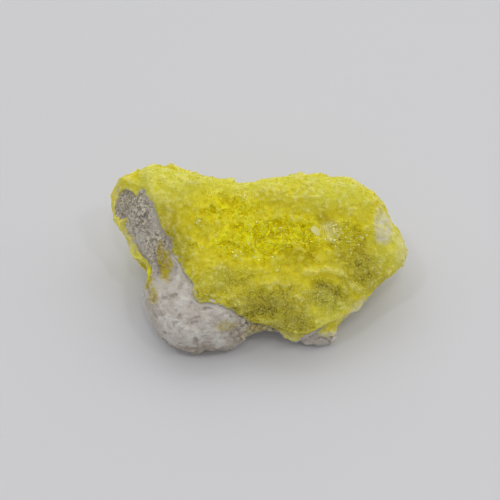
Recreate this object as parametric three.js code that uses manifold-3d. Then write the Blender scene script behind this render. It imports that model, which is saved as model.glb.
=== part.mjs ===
// A hand specimen of native sulfur: a lump of pale altered rock, the matrix, with a crust of
// intergrown yellow sulfur crystals grown over its top, front and back. Lengths are in
// millimetres, +X is to the right along the lump, +Y to the back and +Z up.
//
// The rock's surface is where a distance is zero. Broken faces bound it, lumps swell it and
// hollows dent it, and all of them are blended, so it has rounded edges. A ball is shrunk onto
// that surface. The crust is what a second, thicker surface holds beyond the rock, away from
// its bare places.
import * as THREE from 'three';
import { ImprovedNoise } from 'three/addons/math/ImprovedNoise.js';
import { mergeVertices } from 'three/addons/utils/BufferGeometryUtils.js';
import Module from 'manifold-3d';

const wasm = await Module();
wasm.setup();

// --- Driving dimensions ---------------------------------------------------------------

const HALF_LENGTH = 37; // half of the lump's length along X
const HALF_DEPTH = 22; // half of its depth along Y
const HEIGHT = 32; // from the table to the horn's tip
const SURFACE_DETAIL = 12; // splits along each edge of the icosahedron
const BALL_SIZE = 1.3; // the ball that is shrunk onto a surface, in lump sizes
const EVENING_ROUNDS = 60; // times the corners are moved to even out the faces
const FIRST_STEPS = 10; // steps that bring the ball's corners to the surface
const LAST_STEPS = 3;
const SLOPE_STEP = 0.05; // how far apart the slope of a distance is measured
const EDGE_ROUNDING = 4; // how broadly two broken faces blend
const CRUST_THICKNESS = 2.4;
const CRUST_GAP = 0.3; // free space between the rock and the crust
const BARE_DEPTH = 1.6; // how far the crust's surface dives under bare rock
const CRUST_EDGE_WIDTH = 2.2; // distance over which the crust ends at a bare place
const EDGE_WANDER = 1.5; // how far the crust's edge strays from a bare place's outline
const WANDER_SIZE = 5;
const RELIEF_HEIGHT = 0.9; // bumps of the broken rock
const RELIEF_SIZE = 8;

// --- What bounds the rock -------------------------------------------------------------

// Broken faces: a point on each, and the way it faces.
const FACES = [
  { name: 'upper slope', point: [0, 4, 18.8], facing: [0, -0.44, 0.9] },
  { name: 'lower slope', point: [0, -11, 10], facing: [0, -0.75, 0.66] },
  { name: 'front', point: [0, -16.5, 5], facing: [0, -1, -0.1] },
  { name: 'back', point: [0, 19, 12], facing: [0, 1, 0.15] },
  { name: 'crest', point: [0, 14.5, 24.5], facing: [0, 0.5, 0.87] },
  { name: 'back underside', point: [0, 19, 9], facing: [0, 0.75, -0.66] },
  { name: 'left', point: [-29.5, 9, 27], facing: [-0.765, -0.578, 0.284] },
  { name: 'left end', point: [-35.5, 10, 20], facing: [-1, -0.1, 0.1] },
  { name: 'left back', point: [-31, 20, 15], facing: [-0.5, 0.86, 0] },
  { name: 'left underside', point: [-29, 0, 10], facing: [-0.7, 0.07, -0.7] },
  { name: 'right end', point: [37, 0, 16], facing: [1, 0.1, 0.15] },
  { name: 'right back', point: [27.5, 13.5, 20.5], facing: [0.75, 0.5, 0.43] },
  { name: 'right front', point: [21, -11, 7], facing: [0.6, -0.75, -0.1] },
  { name: 'right underside', point: [24, -8, 9.4], facing: [0.5, -0.3, -0.8] },
  { name: 'base', point: [0, 0, -1.5], facing: [0, 0, -1] },
];

// Lumps that swell beyond the faces: rounded bodies with their half sizes.
const LUMPS = [
  { name: 'horn', at: [-22.5, 13, 21.5], radii: [8, 7, 7], blend: 8 },
  { name: 'right crest', at: [12, 12, 21], radii: [12, 6, 6], blend: 5 },
  { name: 'left corner', at: [-31.2, 14.5, 20.5], radii: [4.2, 4, 4.2], blend: 3 },
  { name: 'left knob', at: [-24, -8, 9], radii: [5, 5, 6], blend: 3 },
  { name: 'white knob', at: [-14, -12, 7], radii: [13.5, 9.5, 9], blend: 3 },
  { name: 'chip', at: [15.5, -14, 3.5], radii: [6.5, 5, 3.5], blend: 3 },
  { name: 'front knob', at: [10, -10.5, 6.5], radii: [9, 7, 5.5], blend: 4 },
];

// Hollows scooped out of the rock, of the same form.
const HOLLOWS = [
  { name: 'front notch', at: [1.5, -22, -1], radii: [5, 13, 6], blend: 4 },
];

// --- Where the rock is bare -----------------------------------------------------------

// Bands in which no crust grew, or from which it broke away: the two ends of each band's
// middle line, and how far it reaches to every side.
const BARE = [
  { name: 'grey break', from: [-34, 9.5, 26], to: [-27.5, 0, 20], radius: 4.8 },
  { name: 'white strip', from: [-27, 0, 19], to: [-20, -9, 14], radius: 3 },
  { name: 'white flank', from: [-22, -12, 6], to: [-10, -17, 5], radius: 9 },
  { name: 'notch', from: [-2, -20, 3], to: [2, -20, 1], radius: 6 },
  { name: 'chip', from: [12, -21, 3.5], to: [18, -19, 3], radius: 4 },
  { name: 'foot', from: [-4, -17, -1], to: [14, -17, -1], radius: 5 },
  { name: 'underside', from: [-30, 2, -12], to: [30, 2, -12], radius: 18 },
];

// --- The surfaces ---------------------------------------------------------------------

const noise = new ImprovedNoise();
const centre = new THREE.Vector3(0, 0, HEIGHT * 0.45);
const offset = new THREE.Vector3();
const probe = new THREE.Vector3();
const slope = new THREE.Vector3();
const band = new THREE.Line3();
const nearest = new THREE.Vector3();

// The greater of two distances, with their meeting edge rounded over about blend.
function smoothMax(a, b, blend) {
  const share = Math.max(blend - Math.abs(a - b), 0) / blend;
  return Math.max(a, b) + (share * share * blend) / 4;
}

function smoothMin(a, b, blend) {
  return -smoothMax(-a, -b, blend);
}

// Roughly how far a point lies outside a rounded body; negative inside.
function bodyDistance(point, { at, radii }) {
  offset.set(...at).sub(point).negate();
  const reach = Math.hypot(offset.x / radii[0], offset.y / radii[1], offset.z / radii[2]);
  return (reach - 1) * Math.min(...radii);
}

function faceDistance(point, { point: on, facing }) {
  const length = Math.hypot(...facing);
  return (
    ((point.x - on[0]) * facing[0] +
      (point.y - on[1]) * facing[1] +
      (point.z - on[2]) * facing[2]) /
    length
  );
}

// Bumps of two sizes, from -1 to 1 times RELIEF_HEIGHT.
function relief(point) {
  const p = point.clone().divideScalar(RELIEF_SIZE);
  const broad = noise.noise(p.x + 11, p.y + 5, p.z + 3);
  const fine = noise.noise(p.x * 2.3 + 7, p.y * 2.3 + 1, p.z * 2.3 + 9);
  return RELIEF_HEIGHT * (broad + 0.5 * fine);
}

function rockDistance(point) {
  let distance = FACES.reduce(
    (most, face) => smoothMax(most, faceDistance(point, face), EDGE_ROUNDING),
    -HEIGHT,
  );
  for (const lump of LUMPS) {
    distance = smoothMin(distance, bodyDistance(point, lump), lump.blend);
  }
  for (const hollow of HOLLOWS) {
    distance = smoothMax(distance, -bodyDistance(point, hollow), hollow.blend);
  }
  return distance - relief(point);
}

// How far a point lies outside a round-ended band; negative inside.
function bandDistance(at, { from, to, radius }) {
  band.start.set(...from);
  band.end.set(...to);
  band.closestPointToPoint(at, true, nearest);
  return nearest.distanceTo(at) - radius;
}

// How thick the crust is above the rock, negative where the rock is bare.
function crustHeight(point) {
  const clear = BARE.reduce((least, bare) => Math.min(least, bandDistance(point, bare)), HEIGHT);
  const p = point.clone().divideScalar(WANDER_SIZE);
  const wander = EDGE_WANDER * noise.noise(p.x + 4, p.y + 2, p.z + 8);
  const share = THREE.MathUtils.smoothstep(clear + wander, 0, CRUST_EDGE_WIDTH);
  return THREE.MathUtils.lerp(-BARE_DEPTH, CRUST_THICKNESS, share);
}

function crustDistance(point) {
  return rockDistance(point) - crustHeight(point);
}

// --- Solids ---------------------------------------------------------------------------

// Moves a place straight towards the surface, where the distance is zero.
function settle(at, distanceAt, steps) {
  for (let step = 0; step < steps; step++) {
    const here = distanceAt(at);
    slope.set(
      distanceAt(probe.set(at.x + SLOPE_STEP, at.y, at.z)) - here,
      distanceAt(probe.set(at.x, at.y + SLOPE_STEP, at.z)) - here,
      distanceAt(probe.set(at.x, at.y, at.z + SLOPE_STEP)) - here,
    );
    const steepness = Math.max(slope.length() / SLOPE_STEP, 1);
    at.addScaledVector(slope.normalize(), -here / steepness);
  }
}

// A ball stretched round the lump and shrunk onto the surface, as its corners and its faces.
// Between steps each corner moves to the middle of its neighbours, which keeps the faces even.
function wrap(distanceAt) {
  const ball = new THREE.IcosahedronGeometry(1, SURFACE_DETAIL);
  ball.deleteAttribute('normal');
  ball.deleteAttribute('uv');
  const { index, attributes } = mergeVertices(ball, 1e-5);
  const reach = new THREE.Vector3(HALF_LENGTH, HALF_DEPTH, HEIGHT / 2).multiplyScalar(BALL_SIZE);
  const corners = [];
  for (let i = 0; i < attributes.position.count; i++) {
    const corner = new THREE.Vector3().fromBufferAttribute(attributes.position, i);
    corners.push({ at: corner.multiply(reach).add(centre), neighbours: new Set() });
  }
  for (let i = 0; i < index.count; i += 3) {
    const face = [0, 1, 2].map((k) => corners[index.getX(i + k)]);
    face.forEach((corner, k) => {
      corner.neighbours.add(face[(k + 1) % 3]).add(face[(k + 2) % 3]);
    });
  }
  for (const { at } of corners) settle(at, distanceAt, FIRST_STEPS);
  for (let round = 0; round < EVENING_ROUNDS; round++) {
    for (const { at, neighbours } of corners) {
      at.set(0, 0, 0);
      neighbours.forEach((other) => at.addScaledVector(other.at, 1 / neighbours.size));
      settle(at, distanceAt, 1);
    }
  }
  return { corners, index };
}

// The solid in a skin, once the skin's corners are moved to where the distance is zero.
function fill({ corners, index }, distanceAt) {
  for (const { at } of corners) settle(at, distanceAt, LAST_STEPS);
  const places = corners.flatMap(({ at }) => at.toArray());
  return solidOf(
    new THREE.BufferGeometry()
      .setAttribute('position', new THREE.Float32BufferAttribute(places, 3))
      .setIndex(index),
  );
}

function solidOf(geometry) {
  return new wasm.Manifold(
    new wasm.Mesh({
      numProp: 3,
      vertProperties: new Float32Array(geometry.getAttribute('position').array),
      triVerts: new Uint32Array(geometry.index.array),
    }),
  );
}

function geometryOf(solid) {
  const mesh = solid.getMesh();
  return new THREE.BufferGeometry()
    .setAttribute('position', new THREE.BufferAttribute(mesh.vertProperties, 3))
    .setIndex(new THREE.BufferAttribute(mesh.triVerts, 1));
}

// Crumbs of crust that the bare places cut off are left out.
function largestBody(solid) {
  return solid.decompose().reduce((most, body) => (body.volume() > most.volume() ? body : most));
}

// Everything below the flat that the lump rests on.
const underBox = new THREE.BoxGeometry(4 * HALF_LENGTH, 4 * HALF_DEPTH, HEIGHT);
underBox.deleteAttribute('normal');
underBox.deleteAttribute('uv');
underBox.translate(0, 0, -HEIGHT / 2);
const under = solidOf(mergeVertices(underBox));

const rockSkin = wrap(rockDistance);
const rock = fill(rockSkin, rockDistance).subtract(under);
const gapped = fill(rockSkin, (at) => rockDistance(at) - CRUST_GAP);
const crust = fill(wrap(crustDistance), crustDistance).subtract(gapped).subtract(under);

// --- The specimen ---------------------------------------------------------------------

const specimen = new THREE.Group();

function addPiece(name, geometry, material) {
  const mesh = new THREE.Mesh(geometry, material);
  mesh.name = name;
  specimen.add(mesh);
}

const chalk = new THREE.MeshStandardMaterial({ color: 0xb9b5ac, roughness: 0.95, metalness: 0 });
const sulfur = new THREE.MeshStandardMaterial({ color: 0xcfc32c, roughness: 0.5, metalness: 0 });

addPiece('matrix_rock', geometryOf(rock), chalk);
addPiece('sulfur_crust', geometryOf(largestBody(crust)), sulfur);

// The origin is on the table, under the middle of the lump's box.
const box = new THREE.Box3().setFromObject(specimen);
const middle = box.getCenter(new THREE.Vector3());
specimen.position.set(-middle.x, -middle.y, -box.min.z);

export default specimen;
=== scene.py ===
"""The looks of a hand specimen of native sulfur.

A lump of pale altered rock carries a crust of yellow sulfur: granular and powdery at its rim,
glassy and deep yellow in the middle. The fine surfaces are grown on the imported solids, then
sugary grains, small clear crystals and rock grit are strewn over them as joined meshes.

Sizes and places are in millimetres in the row frame. They become metres where a mesh is made.
"""

import logging
import math
from dataclasses import dataclass, field
from enum import Enum

import bmesh
import bpy
import numpy as np
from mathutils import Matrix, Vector, noise
from mathutils.bvhtree import BVHTree


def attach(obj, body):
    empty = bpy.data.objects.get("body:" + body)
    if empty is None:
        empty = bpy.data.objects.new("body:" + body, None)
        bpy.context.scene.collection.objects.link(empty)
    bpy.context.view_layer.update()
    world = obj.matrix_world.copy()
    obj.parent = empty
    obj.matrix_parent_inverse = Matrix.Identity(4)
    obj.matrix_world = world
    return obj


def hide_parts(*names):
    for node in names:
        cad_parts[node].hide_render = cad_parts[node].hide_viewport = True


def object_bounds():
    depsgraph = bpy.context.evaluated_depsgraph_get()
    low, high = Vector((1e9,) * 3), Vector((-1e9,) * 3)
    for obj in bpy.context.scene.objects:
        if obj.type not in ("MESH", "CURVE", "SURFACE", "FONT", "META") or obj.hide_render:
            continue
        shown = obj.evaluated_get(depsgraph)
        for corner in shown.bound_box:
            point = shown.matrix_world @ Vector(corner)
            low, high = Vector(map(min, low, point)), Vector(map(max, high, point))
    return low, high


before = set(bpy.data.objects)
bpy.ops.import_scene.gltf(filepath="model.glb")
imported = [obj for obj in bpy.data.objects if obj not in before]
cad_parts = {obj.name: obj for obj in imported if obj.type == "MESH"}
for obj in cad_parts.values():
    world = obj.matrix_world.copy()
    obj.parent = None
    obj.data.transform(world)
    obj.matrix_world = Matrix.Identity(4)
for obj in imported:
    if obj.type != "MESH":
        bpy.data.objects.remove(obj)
cad_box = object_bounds()

MM = 0.001
LOW, HIGH = (np.array(corner) / MM for corner in cad_box)
BODY = "root"
TOUCH = 0.8  # a place that faces a packed surface within this distance is hidden by it
FREE = 1.2  # grains and crystals grow only where the crust faces no rock within this distance
CREST_ROUNDS = 30  # smoothing that tells crests from hollows on the rock and the crust
log = logging.getLogger("specimen")


# --- Fields over the specimen ----------------------------------------------------------


def smooth(share: np.ndarray) -> np.ndarray:
    """Eases a share from 0 to 1, flat at both ends.

    Args:
        share: Values that are cut off below 0 and above 1.

    Returns:
        The eased values.
    """
    cut = np.clip(share, 0.0, 1.0)
    return cut * cut * (3.0 - 2.0 * cut)


def lumps(points: np.ndarray, size: float, seed: int, octaves: int = 3) -> np.ndarray:
    """Soft noise, roughly from -1 to 1.

    Args:
        points: Places in millimetres.
        size: Width of the broadest lumps.
        seed: Which of many like fields it is.
        octaves: How many finer sizes are added.

    Returns:
        One value for each place.
    """
    places = (points / size + 17.31 * seed).tolist()
    return np.array([noise.fractal(p, 1.0, 2.0, octaves) for p in places])


def cells(points: np.ndarray, size: float, seed: int) -> np.ndarray:
    """Pebble-like cells.

    Args:
        points: Places in millimetres.
        size: Width of a cell.
        seed: Which of many like fields it is.

    Returns:
        How close each place is to its cell's middle, from 0 to 1.
    """
    places = (points / size + 9.17 * seed).tolist()
    nearest = np.array([noise.voronoi(p)[0][0] for p in places])
    return 1.0 - np.clip(nearest, 0.0, 1.0)


def facets(points: np.ndarray, size: float, steep: float, seed: int) -> np.ndarray:
    """Heights of small flat faces that meet at sharp edges, each one tilted its own way.

    Args:
        points: Places in millimetres.
        size: Width of a face.
        steep: How steeply the faces are tilted, as a slope.
        seed: Which of many like fields it is.

    Returns:
        One height for each place, in millimetres.
    """
    shifted = points / size + 5.39 * seed
    middles = np.array([list(noise.voronoi(p)[1][0]) for p in shifted.tolist()])
    tilts = np.sin(middles * (12.9, 78.2, 37.7) + middles[:, ::-1] * (39.3, 11.1, 83.1)) * steep
    return np.einsum("ij,ij->i", shifted - middles, tilts) * size


@dataclass(frozen=True)
class Patch:
    """A soft-edged place on the specimen.

    Args:
        at: Its middle.
        radii: How far it reaches along X, Y and Z.
        strength: Its share in the middle.
        soft: The part of its reach over which it fades out.
    """

    at: tuple[float, float, float]
    radii: tuple[float, float, float]
    strength: float = 1.0
    soft: float = 0.6

    def share(self, points: np.ndarray, stray: np.ndarray) -> np.ndarray:
        """How much of the patch is at each place. The stray makes its outline wander."""
        reach = np.linalg.norm((points - self.at) / self.radii, axis=1) + stray
        return self.strength * smooth((1.0 - reach) / self.soft)


def pushes(patches: tuple[Patch, ...], points: np.ndarray) -> np.ndarray:
    """How far the patches together push each place outwards.

    Args:
        patches: Patches whose strengths are in millimetres.
        points: Places in millimetres.

    Returns:
        One height for each place.
    """
    return np.sum([patch.share(points, np.zeros(len(points))) for patch in patches], axis=0)


def shares(patches: tuple[Patch, ...], points: np.ndarray, stray: np.ndarray) -> np.ndarray:
    """The greatest share that any of the patches has at each place.

    Args:
        patches: The patches of one kind.
        points: Places in millimetres.
        stray: Added to each patch's reach.

    Returns:
        One share for each place.
    """
    return np.max([patch.share(points, stray) for patch in patches], axis=0)


@dataclass(frozen=True)
class Tuck:
    """A place where the whole body is moved a little, both its faces together.

    Args:
        patch: The place.
        shift: How far its middle is moved.
    """

    patch: Patch
    shift: tuple[float, float, float]

    def moved(self, points: np.ndarray) -> np.ndarray:
        """The places after the move."""
        share = self.patch.share(points, np.zeros(len(points)))
        return points + share[:, None] * np.array(self.shift)


@dataclass(frozen=True)
class Crease:
    """A groove along a line over the surface, or a ridge where its depth is negative.

    Args:
        line: Places that the crease runs through.
        depth: How deep it is.
        width: Half of its width.
    """

    line: tuple[tuple[float, float, float], ...]
    depth: float
    width: float

    def dent(self, points: np.ndarray) -> np.ndarray:
        """How far the surface is lowered at each place.

        Args:
            points: Places in millimetres.

        Returns:
            One depth for each place.
        """
        nearest = np.full(len(points), np.inf)
        corners = np.array(self.line)
        for start, end in zip(corners[:-1], corners[1:]):
            along = end - start
            share = np.clip((points - start) @ along / (along @ along), 0.0, 1.0)
            gap = np.linalg.norm(points - start - share[:, None] * along, axis=1)
            nearest = np.minimum(nearest, gap)
        return self.depth * smooth(1.0 - nearest / self.width)


# --- Meshes and arrays -----------------------------------------------------------------


def corners_of(mesh: bpy.types.Mesh) -> np.ndarray:
    """The mesh's corners.

    Args:
        mesh: The mesh to look at.

    Returns:
        One place for each corner, in millimetres.
    """
    flat = np.zeros(len(mesh.vertices) * 3, np.float32)
    mesh.vertices.foreach_get("co", flat)
    return flat.reshape(-1, 3).astype(float) / MM


def normals_of(mesh: bpy.types.Mesh) -> np.ndarray:
    """The way the mesh faces at its corners.

    Args:
        mesh: The mesh to look at.

    Returns:
        One normal for each corner.
    """
    flat = np.zeros(len(mesh.vertices) * 3, np.float32)
    mesh.vertex_normals.foreach_get("vector", flat)
    return flat.reshape(-1, 3).astype(float)


def move_corners(mesh: bpy.types.Mesh, points: np.ndarray) -> None:
    """Moves the mesh's corners.

    Args:
        mesh: The mesh to change.
        points: Their new places, in millimetres.
    """
    mesh.vertices.foreach_set("co", (points * MM).astype(np.float32).ravel())
    mesh.update()


def store(mesh: bpy.types.Mesh, stored: dict[str, np.ndarray]) -> None:
    """Stores values at the mesh's corners, for its finish to read.

    Args:
        mesh: The mesh to change.
        stored: One value for each corner, by the name that the finish reads.
    """
    for name, values in stored.items():
        attribute = mesh.attributes.new(name, "FLOAT", "POINT")
        attribute.data.foreach_set("value", values.astype(np.float32))


def edge_ends(mesh: bpy.types.Mesh) -> np.ndarray:
    """The two ends of each of the mesh's edges.

    Args:
        mesh: The mesh to look at.

    Returns:
        A row of corner numbers for the edges' first ends, and one for their other ends.
    """
    flat = np.zeros(len(mesh.edges) * 2, np.int32)
    mesh.edges.foreach_get("vertices", flat)
    return flat.reshape(-1, 2).T


def evened(mesh: bpy.types.Mesh, rounds: int) -> np.ndarray:
    """Where the corners would be on a smoother surface.

    Args:
        mesh: The mesh to look at.
        rounds: How often each corner takes the middle of its neighbours.

    Returns:
        One place for each corner, in millimetres.
    """
    a, b = edge_ends(mesh)
    points = corners_of(mesh)
    count = (np.bincount(a, minlength=len(points)) + np.bincount(b, minlength=len(points)))[:, None]
    level = points
    for _ in range(rounds):
        total = np.zeros_like(level)
        for axis in range(3):
            total[:, axis] += np.bincount(a, level[b, axis], len(points))
            total[:, axis] += np.bincount(b, level[a, axis], len(points))
        level = total / count
    return level


def crests(mesh: bpy.types.Mesh, rounds: int) -> np.ndarray:
    """How far each corner stands out of its smoothed surroundings.

    Args:
        mesh: The mesh to look at.
        rounds: How often the surroundings are smoothed.

    Returns:
        One height for each corner in millimetres, less than 0 in hollows.
    """
    return np.einsum("ij,ij->i", corners_of(mesh) - evened(mesh, rounds), normals_of(mesh))


def inner(mesh: bpy.types.Mesh, chosen: np.ndarray, rings: int) -> np.ndarray:
    """The chosen corners that are at least some rings of edges away from the others.

    Args:
        mesh: The mesh that the corners belong to.
        chosen: True for each chosen corner.
        rings: How many rings are taken off.

    Returns:
        True for each corner that is left.
    """
    a, b = edge_ends(mesh)
    left = chosen.copy()
    for _ in range(rings):
        edge = left[a] != left[b]
        left[a[edge]] = False
        left[b[edge]] = False
    return left


def mesh_of(name: str, points: np.ndarray, faces: np.ndarray) -> bpy.types.Mesh:
    """A mesh of triangles.

    Args:
        name: The mesh's name.
        points: Its corners, in millimetres.
        faces: Three corner numbers for each face.

    Returns:
        The new mesh.
    """
    mesh = bpy.data.meshes.new(name)
    mesh.vertices.add(len(points))
    mesh.vertices.foreach_set("co", (points * MM).astype(np.float32).ravel())
    mesh.loops.add(faces.size)
    mesh.loops.foreach_set("vertex_index", faces.astype(np.int32).ravel())
    mesh.polygons.add(len(faces))
    mesh.polygons.foreach_set("loop_start", np.arange(0, faces.size, 3, dtype=np.int32))
    mesh.update(calc_edges=True)
    return mesh


def shown(name: str, mesh: bpy.types.Mesh) -> bpy.types.Object:
    """Puts a mesh into the scene.

    Args:
        name: The new object's name.
        mesh: The mesh.

    Returns:
        The object that holds it.
    """
    piece = bpy.data.objects.new(name, mesh)
    bpy.context.scene.collection.objects.link(piece)
    return piece


def baked(piece: bpy.types.Object) -> bpy.types.Mesh:
    """Applies a piece's modifiers.

    Args:
        piece: The piece, which is removed.

    Returns:
        The mesh that its modifiers give.
    """
    graph = bpy.context.evaluated_depsgraph_get()
    mesh = bpy.data.meshes.new_from_object(piece.evaluated_get(graph))
    bpy.data.objects.remove(piece)
    return mesh


def ball(radii: tuple[float, float, float], at: tuple[float, float, float]) -> bmesh.types.BMesh:
    """A closed ball stretched along the axes.

    Args:
        radii: Its half sizes.
        at: Its middle.

    Returns:
        The ball, in metres.
    """
    shape = bmesh.new()
    bmesh.ops.create_icosphere(shape, subdivisions=6, radius=1.0)
    for corner in shape.verts:
        stretched = Vector(a * b for a, b in zip(corner.co, radii))
        corner.co = (stretched + Vector(at)) * MM
    return shape


def welded(node: str) -> bpy.types.Mesh:
    """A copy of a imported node's mesh, with the corners that its faces share merged.

    Args:
        node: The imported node's name.

    Returns:
        The new mesh, of triangles.
    """
    mesh = bpy.data.meshes.new(node + "_welded")
    shape = bmesh.new()
    shape.from_mesh(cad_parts[node].data)
    bmesh.ops.remove_doubles(shape, verts=shape.verts, dist=1e-6)
    bmesh.ops.triangulate(shape, faces=shape.faces)
    shape.to_mesh(mesh)
    shape.free()
    return mesh


@dataclass
class Surface:
    """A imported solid's surface, for telling how far away it is.

    Args:
        node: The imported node's name.
    """

    node: str
    tree: BVHTree = field(init=False)

    def __post_init__(self) -> None:
        """Builds the search tree."""
        shape = bmesh.new()
        shape.from_mesh(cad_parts[self.node].data)
        self.tree = BVHTree.FromBMesh(shape)
        shape.free()

    def faces_closely(self, points: np.ndarray, normals: np.ndarray, reach: float) -> np.ndarray:
        """Which places look straight at this surface from close by.

        Args:
            points: Places in millimetres.
            normals: The way each place faces.
            reach: How near counts as close.

        Returns:
            True for each such place.
        """
        found = [self.tree.find_nearest(p, reach * MM)[0] for p in (points * MM).tolist()]
        near = np.array([[np.inf] * 3 if p is None else list(p) for p in found]) / MM
        towards = np.where(np.isfinite(near), near - points, 0.0)
        return np.einsum("ij,ij->i", towards, normals) > 0.0


def refined(mesh: bpy.types.Mesh, voxel: float, rounds: int) -> bpy.types.Mesh:
    """A fine even mesh of the same body with its facets softened.

    Args:
        mesh: The coarse closed mesh.
        voxel: The new mesh's grid.
        rounds: How often it is smoothed.

    Returns:
        The new mesh.
    """
    piece = shown("refined", mesh)
    remesh = piece.modifiers.new("Remesh", "REMESH")
    remesh.mode = "VOXEL"
    remesh.voxel_size = voxel * MM
    soften = piece.modifiers.new("Soften", "SMOOTH")
    soften.factor = 0.5
    soften.iterations = rounds
    return baked(piece)


def thinned(mesh: bpy.types.Mesh, hidden: np.ndarray, most_faces: int) -> bpy.types.Mesh:
    """Makes the hidden part of a mesh coarser.

    Args:
        mesh: The fine mesh.
        hidden: True at each corner that doesn't show.
        most_faces: How many triangles are left.

    Returns:
        The new mesh, of triangles.
    """
    piece = shown("thinned", mesh)
    group = piece.vertex_groups.new(name="hidden")
    group.add(np.flatnonzero(hidden).tolist(), 1.0, "REPLACE")
    piece.modifiers.new("Triangulate", "TRIANGULATE")
    triangles = 2 * len(mesh.polygons)
    collapse = piece.modifiers.new("Collapse", "DECIMATE")
    collapse.vertex_group = group.name
    collapse.ratio = min(1.0, most_faces / triangles)
    return baked(piece)


def finished(piece: bpy.types.Object, material: bpy.types.Material) -> None:
    """Gives a piece its finish and lets it ride on the specimen.

    Args:
        piece: The piece.
        material: Its finish.
    """
    piece.data.materials.clear()
    piece.data.materials.append(material)
    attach(piece, BODY)
    log.info("%s: %d faces", piece.name, len(piece.data.polygons))


# --- Finishes --------------------------------------------------------------------------

Colour = tuple[float, float, float]


def linear(colour: Colour) -> tuple[float, float, float, float]:
    """Turns a colour into the light values that nodes take.

    Args:
        colour: Red, green and blue as they look, from 0 to 255.

    Returns:
        Red, green and blue light, and an opacity of 1.
    """
    parts = [c / 255.0 for c in colour]
    lit = [c / 12.92 if c <= 0.04045 else ((c + 0.055) / 1.055) ** 2.4 for c in parts]
    return lit[0], lit[1], lit[2], 1.0


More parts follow.
